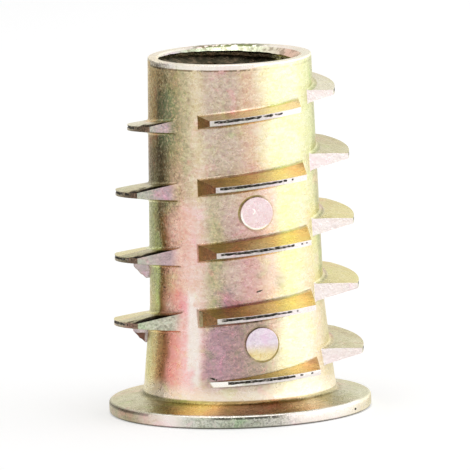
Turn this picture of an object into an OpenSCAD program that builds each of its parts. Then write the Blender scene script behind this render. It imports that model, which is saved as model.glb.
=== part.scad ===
// Screw-in threaded insert for wood, cast in one piece with a flange.
// The part stands on the outer face of its flange, z = 0, and its open tip points up +Z.
// The coarse outer thread is right-handed. Four mould slides form it, so it is broken into
// four rows of fins, which point along -Y, +X, +Y and -X.

/* [Body] */
// Height of the whole insert, flange included
overall_length = 20; // [14:0.5:30]
// Diameter of the body at the open tip
tip_d = 9.14; // [9:0.02:10]
// Diameter of the body where its gentle taper meets the flare
waist_d = 9.76; // [9.4:0.02:10.4]
// Height of that waist above the flange's outer face
waist_z = 6; // [5:0.25:8]
// Diameter of the body where the flare meets the flange
base_d = 10.8; // [10.5:0.05:11.6]
// Rounding of the tip's outer edge
tip_round = 0.1; // [0.05:0.01:0.3]

/* [Flange] */
// Diameter of the flange
flange_d = 14.7; // [13:0.1:18]
// Thickness of the flange at its rim
rim_t = 0.75; // [0.6:0.05:1]
// Thickness of the flange where it meets the body
flange_root_t = 1.05; // [1:0.05:1.4]
// Rounding of the rim's two edges
rim_round = 0.18; // [0.05:0.01:0.25]
// Fillet between the flange and the body
base_fillet = 0.25; // [0.1:0.05:0.4]

/* [Outer thread] */
// Rise of the outer thread in one turn
outer_pitch = 3.65; // [3:0.05:4.5]
// Height of the first fin, the one that grows out of the body
first_fin_z = 2.53; // [2.3:0.01:3]
// Bare length between the last fin's middle and the tip
last_fin_gap = 0.9; // [0.7:0.05:2]
// Crest diameter of the lowest fins
crest_low_d = 14.1; // [12.5:0.1:14.6]
// Crest diameter of the fins where the lead taper starts
crest_high_d = 13.04; // [12:0.02:13.5]
// Crest diameter of the fins at the tip
crest_tip_d = 11.66; // [11:0.02:12]
// Length of the lead taper, measured down from the tip
lead_length = 5.6; // [5:0.1:8]
// Length of the small fins above the lead taper, measured down from the tip
tip_fins_length = 3.8; // [3:0.1:4.5]
// Width of the flat along a fin's crest
crest_flat = 0.3; // [0.15:0.01:0.5]
// Slope of each flank against the fin's middle plane
flank_angle = 10; // [7:0.5:14]
// Tilt of a fin against the flange
fin_tilt = 5.4; // [4:0.1:7]
// Half the length of the lowest fins where they leave the body
fin_half = 3.45; // [3:0.05:3.7]
// Narrowing of the rows of fins towards the tip, on each side
row_taper = 2.1; // [0:0.1:3]
// Draft of the fins' end faces along their slide's pull
end_draft = 10; // [5:0.5:15]
// Extra bare strip where the -X row ends next to the -Y row
wide_land = 0.3; // [0:0.05:0.6]
// Sideways shift of the circle that makes the first fin grow
grow_shift = 1.33; // [1:0.01:1.5]
// Diameter of that circle
grow_d = 12.32; // [12:0.02:12.6]
// Sideways shift of the circle that makes the last fin fade
fade_shift = 1.05; // [0.8:0.01:1.2]
// Diameter of that circle
fade_d = 10.54; // [10.4:0.02:10.8]

/* [Machine thread] */
// Diameter at the crests of the inner thread, M8 coarse
bore_d = 6.64; // [6:0.02:6.9]
// Diameter of the countersink at the tip
mouth_d = 8.2; // [7.2:0.1:8.4]

/* [Drive socket] */
// Width across the flats of the hexagon socket in the flange
hex_flats = 8; // [7:0.1:8.2]
// Depth of the hexagon socket
hex_depth = 5; // [4:0.25:6]
// Diameter of the socket's lead-in at the flange's face
lead_in_d = 9.7; // [9.4:0.1:10]
// Depth of that lead-in
lead_in_depth = 0.55; // [0.3:0.05:0.7]

/* [Slide marks] */
// Diameter of the round flats that the slides leave between fins
mark_d = 1.87; // [1.2:0.01:2.2]
// How far the round flats stand proud of the body
mark_proud = 0.08; // [0.01:0.01:0.12]

/* [Casting burrs] */
// How far the burrs under the two lowest fins of the -X row reach out of the wall
burr_reach = 0.9; // [0.3:0.05:1.2]
// How far the burrs hang below their fin, at the wall
burr_drop = 1.15; // [0.4:0.05:1.6]
// Bevel that the burrs' lower outer corner is broken off to
burr_break = 0.45; // [0.1:0.05:0.6]
// Thickness of the burrs
burr_t = 0.35; // [0.2:0.05:0.6]

/* [Hidden] */
$fn = 96;

// One fin for every quarter turn
turn_parts = 4;
quarter = 360 / turn_parts;
quarter_rise = outer_pitch / turn_parts;
// The first fin points along -Y
first_angle = -90;
fin_count = 1 + floor((overall_length - last_fin_gap - first_fin_z) / quarter_rise);
// Depth to which fins and marks reach into the wall
wall_bite = 0.5;
// Clearance that a cutter has beyond the face it opens
overcut = 1;
edge_steps = 4;
// Turn from the middle of the -X row's fins to their burrs, against the thread's rise
burr_turn = 20;

lead_start_z = overall_length - lead_length;
lead_end_z = overall_length - tip_fins_length;

// Points of an arc in the half plane of a turned profile
function arc(centre, r, from, to, steps) =
    [for (i = [0:steps]) let (a = from + (to - from) * i / steps) centre + r * [cos(a), sin(a)]];

// Radius of the bare body at height z
function body_r(z) = lookup(z, [
    [flange_root_t, base_d / 2],
    [waist_z, waist_d / 2],
    [overall_length, tip_d / 2]
]);

// Radius of the thread's crest at height z
function crest_r(z) = lookup(z, [
    [first_fin_z, crest_low_d / 2],
    [lead_start_z, crest_high_d / 2],
    [lead_end_z, crest_tip_d / 2]
]);

// Half the length of a fin at the body's surface
function fin_half_at(z) = fin_half - (z - first_fin_z) * tan(row_taper);

function fin_z(n) = first_fin_z + n * quarter_rise;
function fin_angle(n) = first_angle + n * quarter;

// Fins of the -X row end short of the -Y row
function is_short(n) = n % turn_parts == turn_parts - 1;

// Turned outline of the body and the flange, with no hole
module blank() {
    rim_x = flange_d / 2 - rim_round;
    foot_x = base_d / 2 + base_fillet;
    tip_x = tip_d / 2 - tip_round;
    rotate_extrude()
        polygon(concat(
            [[0, 0]],
            arc([rim_x, rim_round], rim_round, -90, 0, edge_steps),
            arc([rim_x, rim_t - rim_round], rim_round, 0, 90, edge_steps),
            arc([foot_x, flange_root_t + base_fillet], base_fillet, 270, 180, edge_steps),
            [[waist_d / 2, waist_z]],
            arc([tip_x, overall_length - tip_round], tip_round, 0, 90, edge_steps),
            [[0, overall_length]]
        ));
}

// Ring with sloping flanks: its crest has radius r, and it reaches in to radius inner_r
module ridge(r, inner_r) {
    half = crest_flat / 2;
    root_half = half + (r - inner_r) * tan(flank_angle);
    rotate_extrude()
        polygon([[inner_r, -root_half], [r, -half], [r, half], [inner_r, root_half]]);
}

// Plan of one fin, along +X: its ends close in with the draft of the slide
module fin_plan(z, cut_short) {
    surface_half = fin_half_at(z);
    surface_x = sqrt(pow(body_r(z), 2) - pow(surface_half, 2));
    near_x = surface_x - wall_bite;
    far_x = crest_low_d / 2 + overcut;
    near_y = surface_half + (surface_x - near_x) * tan(end_draft);
    far_y = surface_half - (far_x - surface_x) * tan(end_draft);
    trim = cut_short ? wide_land : 0;
    polygon([[near_x, -near_y], [far_x, -far_y], [far_x, far_y - trim], [near_x, near_y - trim]]);
}

// One fin, along +X, on a ring whose centre is moved sideways by shift
module fin(z, r, shift, cut_short) {
    reach = outer_pitch;
    intersection() {
        translate([0, shift, z])
            rotate([fin_tilt, 0, 0])
                ridge(r, body_r(z) - wall_bite - abs(shift));
        translate([0, 0, z - reach / 2])
            linear_extrude(reach)
                fin_plan(z, cut_short);
    }
}

module outer_thread() {
    last = fin_count - 1;
    for (n = [0:last])
        rotate(fin_angle(n))
            if (n == 0) fin(fin_z(n), grow_d / 2, grow_shift, false);
            else if (n == last) fin(fin_z(n), fade_d / 2, -fade_shift, false);
            else fin(fin_z(n), crest_r(fin_z(n)), 0, is_short(n));
}

// Puts the children on every slide mark's face, with their +Z pointing out of the body.
// The marks are halfway between the fins of the -Y row and of the +Y row, in every second gap
module at_slide_marks() {
    step = turn_parts / 2;
    for (n = [0:step:fin_count - 1])
        if (floor(n / turn_parts) % 2 == 0 && fin_z(n) + outer_pitch < overall_length) {
            z = fin_z(n) + outer_pitch / 2;
            rotate(fin_angle(n))
                translate([body_r(z) + mark_proud, 0, z])
                    rotate([0, 90, 0])
                        children();
        }
}

// Thin ragged web of cast metal in the corner between the wall and a fin's lower flank
module casting_burr(n) {
    fin_mid = fin_z(n) - body_r(fin_z(n)) * sin(burr_turn) * tan(fin_tilt);
    low = fin_mid - crest_flat / 2 - burr_drop;
    wall = body_r(fin_mid);
    rotate(fin_angle(n) - burr_turn)
        rotate([90, 0, 0])
            linear_extrude(burr_t, center = true)
                polygon([
                    [wall - wall_bite, fin_mid],
                    [wall + burr_reach, fin_mid],
                    [wall + burr_reach, low + burr_break],
                    [wall + burr_reach - burr_break, low],
                    [wall - wall_bite, low]
                ]);
}

module casting_burrs() {
    first = turn_parts - 1;
    for (n = [first, first + turn_parts])
        casting_burr(n);
}

module machine_bore() {
    sink = (mouth_d - bore_d) / 2;
    translate([0, 0, -overcut])
        cylinder(h = overall_length + 2 * overcut, d = bore_d);
    translate([0, 0, overall_length - sink])
        cylinder(h = sink, d1 = bore_d, d2 = mouth_d);
    translate([0, 0, overall_length])
        cylinder(h = overcut, d = mouth_d);
}

module drive_socket() {
    translate([0, 0, -overcut])
        cylinder(h = hex_depth + overcut, d = hex_flats / cos(30), $fn = 6);
    cylinder(h = lead_in_depth, d1 = lead_in_d, d2 = hex_flats);
    translate([0, 0, -overcut])
        cylinder(h = overcut, d = lead_in_d);
}

module insert() {
    color("#d8c48e")
        difference() {
            union() {
                blank();
                outer_thread();
                casting_burrs();
                at_slide_marks()
                    translate([0, 0, -wall_bite - mark_proud])
                        cylinder(h = wall_bite + mark_proud, d = mark_d);
            }
            at_slide_marks()
                cylinder(h = overcut, d = mark_d);
            machine_bore();
            drive_socket();
        }
}

insert();
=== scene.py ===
from functools import partial
from math import asin, cos, pi, radians, sin, sqrt, tan
from types import SimpleNamespace

import bmesh
import bpy
from mathutils import Matrix, Vector, noise


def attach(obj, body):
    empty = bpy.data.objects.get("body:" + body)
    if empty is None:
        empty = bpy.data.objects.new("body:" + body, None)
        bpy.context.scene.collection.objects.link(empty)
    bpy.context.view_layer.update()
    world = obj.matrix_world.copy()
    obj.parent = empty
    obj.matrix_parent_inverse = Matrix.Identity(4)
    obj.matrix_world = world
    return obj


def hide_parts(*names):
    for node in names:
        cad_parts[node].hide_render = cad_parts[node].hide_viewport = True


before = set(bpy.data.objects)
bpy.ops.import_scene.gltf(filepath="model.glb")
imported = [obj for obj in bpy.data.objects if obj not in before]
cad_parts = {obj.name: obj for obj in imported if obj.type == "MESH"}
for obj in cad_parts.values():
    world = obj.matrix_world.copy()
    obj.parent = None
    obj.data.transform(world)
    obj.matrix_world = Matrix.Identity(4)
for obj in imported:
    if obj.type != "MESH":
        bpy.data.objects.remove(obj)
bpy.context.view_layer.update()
print("frame loaded")

# The piece is modelled in millimetres, and brought to metres when it is finished.
toMetres = 0.001
seamGap = 1e-4  # points of one spin or one sweep closer than this are one point
castGap = 5e-4  # the same for the finished casting
centre = (0, 0, 0)
upAxis = (0, 0, 1)


def arcPoints(middle, radius, start, end, steps):
    turns = [radians(start + (end - start) * i / steps) for i in range(steps + 1)]
    return [(middle[0] + radius * cos(t), middle[1] + radius * sin(t)) for t in turns]


def radiusAt(z, knots):
    for (z0, r0), (z1, r1) in zip(knots, knots[1:]):
        if z <= z1:
            return r0 + (r1 - r0) * (max(z, z0) - z0) / (z1 - z0)
    return knots[-1][1]


def turnedBy(degrees, size=3):
    return Matrix.Rotation(radians(degrees), size, "Z")


def addLoop(bm, points, filled=False):
    verts = [bm.verts.new((r, 0, z)) for r, z in points]
    edges = [bm.edges.new(pair) for pair in zip(verts, verts[1:] + verts[:1])]
    if filled:
        return verts, [bm.faces.new(verts)] + edges + verts
    return verts, verts + edges


def spinRound(bm, parts, steps):
    bmesh.ops.spin(bm, geom=parts, cent=centre, axis=upAxis, angle=2 * pi, steps=steps, use_merge=True)
    bmesh.ops.remove_doubles(bm, verts=bm.verts, dist=seamGap)
    bmesh.ops.dissolve_degenerate(bm, edges=bm.edges, dist=seamGap)
    bmesh.ops.recalc_face_normals(bm, faces=bm.faces)


def sweepUp(bm, outline, start, end, steps, z, rise, shift=0):
    # a filled outline goes round an axis, shifted along Y, while it rises
    verts, parts = addLoop(bm, outline, filled=True)
    bmesh.ops.rotate(bm, verts=verts, cent=centre, matrix=Matrix.Rotation(start, 3, "Z"))
    bmesh.ops.translate(bm, verts=verts, vec=(0, shift, z))
    bmesh.ops.spin(bm, geom=parts, cent=(0, shift, 0), axis=upAxis, dvec=(0, 0, rise / steps),
                   angle=end - start, steps=steps)


def roundEdges(bm, edges, size, segments):
    bmesh.ops.bevel(bm, geom=edges, offset=size, offset_type="OFFSET", affect="EDGES", segments=segments,
                    profile=0.5, clamp_overlap=True, material=-1)


def addObject(name, data):
    made = bpy.data.objects.new(name, data)
    bpy.context.collection.objects.link(made)
    return made


def asPiece(bm, name):
    mesh = bpy.data.meshes.new(name)
    bm.to_mesh(mesh)
    bm.free()
    return addObject(name, mesh)


def gather(name, parts, torn=False):
    # torn faces take the second finish
    together = bmesh.new()
    for part in parts:
        mesh = bpy.data.meshes.new("part")
        part.to_mesh(mesh)
        part.free()
        together.from_mesh(mesh)
        bpy.data.meshes.remove(mesh)
    for face in together.faces:
        face.material_index = 1 if torn else 0
    return asPiece(together, name)


def combine(piece, tool, how):
    join = piece.modifiers.new(how.lower(), "BOOLEAN")
    join.operation, join.solver, join.object = how, "MANIFOLD", tool
    graph = bpy.context.evaluated_depsgraph_get()
    finished = bpy.data.meshes.new_from_object(piece.evaluated_get(graph))
    piece.modifiers.clear()
    old, piece.data = piece.data, finished
    bpy.data.meshes.remove(old)
    bpy.data.objects.remove(tool)


bodyShape = dict(
    height=20, tipWide=9.14, waistWide=9.76, waistAt=6, footWide=10.8, tipRound=0.08,
    flangeWide=14.69, rimThick=0.75, rootThick=1.05, rimRound=0.18, footFillet=0.25,
    ringGap=0.45, roundSteps=4, around=168,
    # gentle waviness of the cast wall, which stops short of the flange and the tip
    waveHigh=0.012, waveLong=2.4, calmFoot=0.4, calmTip=0.5, calmInside=0.1,
)


def wallRadius(z):
    s = bodyShape
    return radiusAt(z, [(s["rootThick"], s["footWide"] / 2), (s["waistAt"], s["waistWide"] / 2),
                        (s["height"], s["tipWide"] / 2)])


def turnBody():
    s = bodyShape
    rim, foot, tip = s["flangeWide"] / 2, s["footWide"] / 2, s["tipWide"] / 2
    n, r, f, e = s["roundSteps"], s["rimRound"], s["footFillet"], s["tipRound"]
    low, high = s["rootThick"] + f, s["height"] - e
    rings = round((high - low) / s["ringGap"])
    heights = sorted({s["waistAt"]} | {low + (high - low) * i / rings for i in range(1, rings)})
    outline = [(0, 0)]
    outline += arcPoints((rim - r, r), r, -90, 0, n)
    outline += arcPoints((rim - r, s["rimThick"] - r), r, 0, 90, n)
    outline += arcPoints((foot + f, low), f, 270, 180, n)
    outline += [(wallRadius(z), z) for z in heights]
    outline += arcPoints((tip - e, high), e, 0, 90, n)
    outline += [(0, s["height"])]
    bm = bmesh.new()
    spinRound(bm, addLoop(bm, outline)[1], s["around"])
    lowest, highest = s["rootThick"] + s["calmFoot"], s["height"] - s["calmTip"]
    for v in bm.verts:
        reach = Vector((v.co.x, v.co.y, 0))
        if lowest < v.co.z < highest and reach.length > tip - s["calmInside"]:
            v.co += reach.normalized() * s["waveHigh"] * noise.noise(v.co / s["waveLong"])
    return asPiece(bm, "castInsert")


threadShape = dict(
    pitch=3.65, firstAt=2.53, tipGap=0.9, rows=4, firstTurn=-90,
    lowWide=14.1, leadWide=13.04, tipWide=11.66, leadLong=5.6, smallLong=3.8,
    crestFlat=0.3, flank=10, riseInRow=3.03, halfLong=3.45, rowTaper=2.1, endDraft=10,
    wideLand=0.3, bite=0.5, fillet=0.2, filletStop=20, filletSteps=4, filletSink=0.05, rootHalf=0.6,
    edgeRound=0.11, edgeSteps=3, sharpFrom=35, clearOfFillet=1.3, sweep=52, steps=34, cutGap=1e-5,
    growShift=1.33, growWide=12.32, fadeShift=1.05, fadeWide=10.54,
)


def finCount():
    t = threadShape
    return 1 + int((bodyShape["height"] - t["tipGap"] - t["firstAt"]) / (t["pitch"] / t["rows"]))


def crestRadius(z):
    t, top = threadShape, bodyShape["height"]
    return radiusAt(z, [(t["firstAt"], t["lowWide"] / 2), (top - t["leadLong"], t["leadWide"] / 2),
                        (top - t["smallLong"], t["tipWide"] / 2)])


def finPlace(n):
    # The first fin grows out of the body and the last one fades into it, so both turn about a shifted axis.
    t = threadShape
    z = t["firstAt"] + n * t["pitch"] / t["rows"]
    shift, crest = 0, crestRadius(z)
    if n == 0:
        shift, crest = t["growShift"], t["growWide"] / 2
    elif n == finCount() - 1:
        shift, crest = -t["fadeShift"], t["fadeWide"] / 2
    half = t["halfLong"] - (z - t["firstAt"]) * tan(radians(t["rowTaper"]))
    return SimpleNamespace(
        z=z, shift=shift, crest=crest, half=half, wall=wallRadius(z),
        surface=sqrt(wallRadius(z) ** 2 - half ** 2),
        land=t["wideLand"] if n % t["rows"] == t["rows"] - 1 else 0,
        turn=t["firstTurn"] + n * 360 / t["rows"],
    )


def finProfile(z, crest, innerReach, fillet):
    t = threadShape
    half, flank = t["crestFlat"] / 2, radians(t["flank"])
    sides = []
    for side in (-1, 1):
        wall = wallRadius(z + side * t["rootHalf"])
        points = [(crest, side * half)]
        if fillet:
            middle = wall + fillet * cos(radians(t["filletStop"]))
            rise = half + (crest - middle) * tan(flank) + fillet / cos(flank)
            curve = arcPoints((middle, rise), fillet, 270 - t["flank"], 180 + t["filletStop"], t["filletSteps"])
            points += [(r, side * h) for r, h in curve]
            points += [(wall - innerReach, side * (curve[-1][1] + t["filletSink"]))]
        else:
            points += [(wall - innerReach, side * (half + (crest - wall + innerReach) * tan(flank)))]
        sides.append(points)
    return sides[0][::-1] + sides[1]


def cutEnd(bm, point, normal):
    bmesh.ops.bisect_plane(bm, geom=bm.verts[:] + bm.edges[:] + bm.faces[:], dist=threadShape["cutGap"],
                           plane_co=point, plane_no=normal, clear_outer=True)
    bmesh.ops.holes_fill(bm, edges=[e for e in bm.edges if e.is_boundary], sides=0)


def makeFin(n):
    t, p = threadShape, finPlace(n)
    fillet = 0 if p.shift else t["fillet"]
    sweep, rise = radians(t["sweep"]), t["riseInRow"] * 2 * t["sweep"] / 360
    bm = bmesh.new()
    profile = finProfile(p.z, p.crest, t["bite"] + abs(p.shift), fillet)
    sweepUp(bm, profile, -sweep, sweep, t["steps"], p.z - rise / 2, rise, p.shift)
    # The ends close in with the draft of the slide.
    draft = radians(t["endDraft"])
    cutEnd(bm, (p.surface, -p.half, 0), (sin(draft), -cos(draft), 0))
    cutEnd(bm, (p.surface, p.half - p.land, 0), (sin(draft), cos(draft), 0))
    bmesh.ops.recalc_face_normals(bm, faces=bm.faces)
    # Crest edges and end edges are rounded, the fillets at the root are left as they are.
    clear = p.wall + fillet * t["clearOfFillet"] if fillet else 0
    free = {v for v in bm.verts if Vector((v.co.x, v.co.y - p.shift, 0)).length > clear}
    sharp = [
        e for e in bm.edges
        if len(e.link_faces) == 2 and e.calc_face_angle() >= radians(t["sharpFrom"]) and free.issuperset(e.verts)
    ]
    roundEdges(bm, sharp, t["edgeRound"], t["edgeSteps"])
    bmesh.ops.rotate(bm, verts=bm.verts, cent=centre, matrix=turnedBy(p.turn))
    return bm


# ragged hairline groove along the middle of a crest
grooveShape = dict(
    wide=0.16, deep=0.07, lift=0.045, over=0.1, floorShare=0.5, mouthShare=1.5, endGap=0.12, lateStart=0.9,
    stepLong=0.07, rough=0.07, roughGrain=(7.1, 7.3, 0.5), waver=0.05, waverGrain=(3.7, 3.1, 9),
    fade=0.20, fadeFrom=0.45, clearOfWall=0.36,
)


def makeGroove(n):
    t, g, p = threadShape, grooveShape, finPlace(n)
    narrow = (p.crest - p.surface) * tan(radians(t["endDraft"]))
    startY, endY = -(p.half - narrow) + g["endGap"], p.half - narrow - g["endGap"] - p.land
    if n == 0:
        startY += g["lateStart"]
    if p.shift:  # only where this crest is clear of the wall
        meet = (p.wall ** 2 - p.crest ** 2 + p.shift ** 2) / (2 * p.shift)
        if p.shift > 0:
            startY = max(startY, meet + g["clearOfWall"])
        else:
            endY = min(endY, meet - g["clearOfWall"])
    start, end = (asin((y - p.shift) / p.crest) for y in (startY, endY))
    steps = int((end - start) * p.crest / g["stepLong"])
    bottom, mouth = g["wide"] / 2 * g["floorShare"], g["wide"] / 2 * g["mouthShare"]
    inner, outer = p.crest - g["deep"], p.crest + g["over"]
    outline = [(inner, -bottom), (outer, -mouth), (outer, mouth), (inner, bottom)]
    riseInRadian = t["riseInRow"] / (2 * pi)
    bm = bmesh.new()
    low, rise = p.z + g["lift"] + riseInRadian * start, riseInRadian * (end - start)
    sweepUp(bm, outline, start, end, steps, low, rise, p.shift)
    bmesh.ops.recalc_face_normals(bm, faces=bm.faces)
    grainY, grainN, grainZ = g["waverGrain"]
    for v in bm.verts:
        out = Vector((v.co.x, v.co.y - p.shift, 0))
        if out.length < p.crest:
            share = (v.co.y - startY) / (endY - startY)
            roughY, roughN, roughZ = g["roughGrain"]
            jitter = noise.noise(Vector((v.co.y * roughY, n * roughN, roughZ))) * g["rough"]
            v.co += out.normalized() * (jitter + g["fade"] * max(0, share - g["fadeFrom"]))
            v.co.z += noise.noise(Vector((v.co.y * grainY, n * grainN, v.co.z * grainZ))) * g["waver"]
    bmesh.ops.rotate(bm, verts=bm.verts, cent=centre, matrix=turnedBy(p.turn))
    return bm


# the round faces that the die's slides leave, in every second gap of two rows
markShape = dict(wide=1.87, proud=0.08, deep=0.5, clear=1.0, edgeRound=0.05, edgeSteps=2, around=48)


def markPlaces():
    t, m = threadShape, markShape
    places = []
    for n in range(0, finCount(), 2):
        z = finPlace(n).z
        if (n // t["rows"]) % 2 == 0 and z + t["pitch"] < bodyShape["height"]:
            z += t["pitch"] / 2
            out = Matrix.Translation((wallRadius(z) + m["proud"], 0, z))
            places.append(turnedBy(finPlace(n).turn, 4) @ out @ Matrix.Rotation(pi / 2, 4, "Y"))
    return places


def makeMark(place, outward):
    # outward is the cutter that levels what stands in front of a face
    m = markShape
    deep, side = (m["clear"], 1) if outward else (m["deep"], -1)
    bm = bmesh.new()
    bmesh.ops.create_cone(bm, cap_ends=True, segments=m["around"], radius1=m["wide"] / 2, radius2=m["wide"] / 2,
                          depth=deep, matrix=Matrix.Translation((0, 0, side * deep / 2)))
    if not outward:
        top = [e for e in bm.edges if all(v.co.z > -deep / 2 for v in e.verts)]
        roundEdges(bm, top, m["edgeRound"], m["edgeSteps"])
    bmesh.ops.transform(bm, matrix=place, verts=bm.verts)
    return bm


# torn webs under two fins of the -X row: the broken edge is in steps out from the wall and up from the low end
burrShape = dict(
    fins=(3, 7), reach=0.9, drop=1.15, thick=0.35, turn=20, bite=0.5, edgeRound=0.03,
    broken=[
        (0.92, 0.72), (0.78, 0.56), (0.70, 0.50), (0.54, 0.28),
        (0.43, 0.24), (0.24, 0.04), (0.05, 0.06), (-0.5, 0.05),
    ],
)


def makeBurr(n):
    t, b = threadShape, burrShape
    z = finPlace(n).z - t["riseInRow"] * b["turn"] / 360
    wall, low = wallRadius(z), z - t["crestFlat"] / 2 - b["drop"]
    outline = [(wall - b["bite"], z), (wall + b["reach"], z)]
    outline += [(wall + out, low + up) for out, up in b["broken"]]
    bm = bmesh.new()
    verts, parts = addLoop(bm, outline, filled=True)
    bmesh.ops.translate(bm, verts=verts, vec=(0, -b["thick"] / 2, 0))
    made = bmesh.ops.extrude_face_region(bm, geom=parts[:1])["geom"]
    bmesh.ops.translate(bm, verts=[v for v in made if isinstance(v, bmesh.types.BMVert)], vec=(0, b["thick"], 0))
    bmesh.ops.recalc_face_normals(bm, faces=bm.faces)
    roundEdges(bm, bm.edges[:], b["edgeRound"], 1)
    bmesh.ops.rotate(bm, verts=bm.verts, cent=centre, matrix=turnedBy(finPlace(n).turn - b["turn"]))
    return bm


# dents: a turn in degrees from +X, a height, a distance from the axis, depth, width and length, and a tilt
nickShape = dict(
    around=14, rings=7, lumpy=0.25, lumpGrain=4,
    places=[
        dict(turn=-44.3, z=0.33, reach=7.37, size=(0.12, 0.24, 0.16), tilt=0),
        dict(turn=-121, z=2.5, reach=5.27, size=(0.08, 0.62, 0.13), tilt=-14),
        dict(turn=-90, z=7.3, reach=4.87, size=(0.07, 0.55, 0.12), tilt=14),
    ],
)


def makeNick(turn, z, reach, size, tilt):
    k = nickShape
    bm = bmesh.new()
    bmesh.ops.create_uvsphere(bm, u_segments=k["around"], v_segments=k["rings"], radius=0.5)
    for v in bm.verts:
        v.co *= 1 + k["lumpy"] * noise.noise(v.co * k["lumpGrain"] + Vector((turn, 0, 0)))
    bmesh.ops.scale(bm, vec=size, verts=bm.verts)
    place = turnedBy(turn, 4) @ Matrix.Translation((reach, 0, z)) @ Matrix.Rotation(radians(tilt), 4, "X")
    bmesh.ops.transform(bm, matrix=place, verts=bm.verts)
    bmesh.ops.recalc_face_normals(bm, faces=bm.faces)
    return bm


boreShape = dict(
    wide=6.64, mouthWide=8.2, mouthRound=0.05, roundFrom=1.4, roundTo=0.4, leadInWide=9.7, leadInDeep=0.55,
    flats=8, deep=5, cornerRound=0.15, cornerSteps=3, overcut=1,
    pitch=1.25, rootWide=7.96, startAt=4.25, endAt=20.7, rootFlat=0.16, flank=30, inBore=0.25,
    stepsInTurn=72, ragged=0.07, raggedGrain=2.3,
)


def makeReamer():
    b, top = boreShape, bodyShape["height"]
    mouth, bore, m = b["mouthWide"] / 2, b["wide"] / 2, b["mouthRound"]
    early, late = m * b["roundFrom"], m * b["roundTo"]
    outline = [
        (0, -b["overcut"]), (b["leadInWide"] / 2, -b["overcut"]), (b["leadInWide"] / 2, 0),
        (b["flats"] / 2, b["leadInDeep"]), (bore, b["leadInDeep"]), (bore, top - (mouth - bore)),
        (mouth - early, top - early), (mouth - late, top - late), (mouth + m, top),
        (mouth + m, top + b["overcut"]), (0, top + b["overcut"]),
    ]
    bm = bmesh.new()
    spinRound(bm, addLoop(bm, outline)[1], bodyShape["around"])
    return asPiece(bm, "reamer")


def makeTap():
    b = boreShape
    root, inner, flat = b["rootWide"] / 2, b["wide"] / 2 - b["inBore"], b["rootFlat"] / 2
    spread = flat + (root - inner) * tan(radians(b["flank"]))
    turns = (b["endAt"] - b["startAt"]) / b["pitch"]
    bm = bmesh.new()
    outline = [(inner, -spread), (root, -flat), (root, flat), (inner, spread)]
    sweepUp(bm, outline, 0, 2 * pi * turns, round(turns * b["stepsInTurn"]), b["startAt"], b["pitch"] * turns)
    bmesh.ops.recalc_face_normals(bm, faces=bm.faces)
    for v in bm.verts:  # torn flanks of a thread tapped in soft zinc
        v.co.z += b["ragged"] * noise.noise(v.co * b["raggedGrain"])
    return asPiece(bm, "tap")


def makeKey():
    b = boreShape
    radius, long = b["flats"] / 2 / cos(pi / 6), b["deep"] + b["overcut"]
    place = Matrix.Translation((0, 0, (b["deep"] - b["overcut"]) / 2)) @ turnedBy(30, 4)
    bm = bmesh.new()
    bmesh.ops.create_cone(bm, cap_ends=True, segments=6, radius1=radius, radius2=radius, depth=long, matrix=place)
    uprights = [e for e in bm.edges if abs(e.verts[0].co.z - e.verts[1].co.z) > long / 2]
    roundEdges(bm, uprights, b["cornerRound"], b["cornerSteps"])
    return asPiece(bm, "key")


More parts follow.
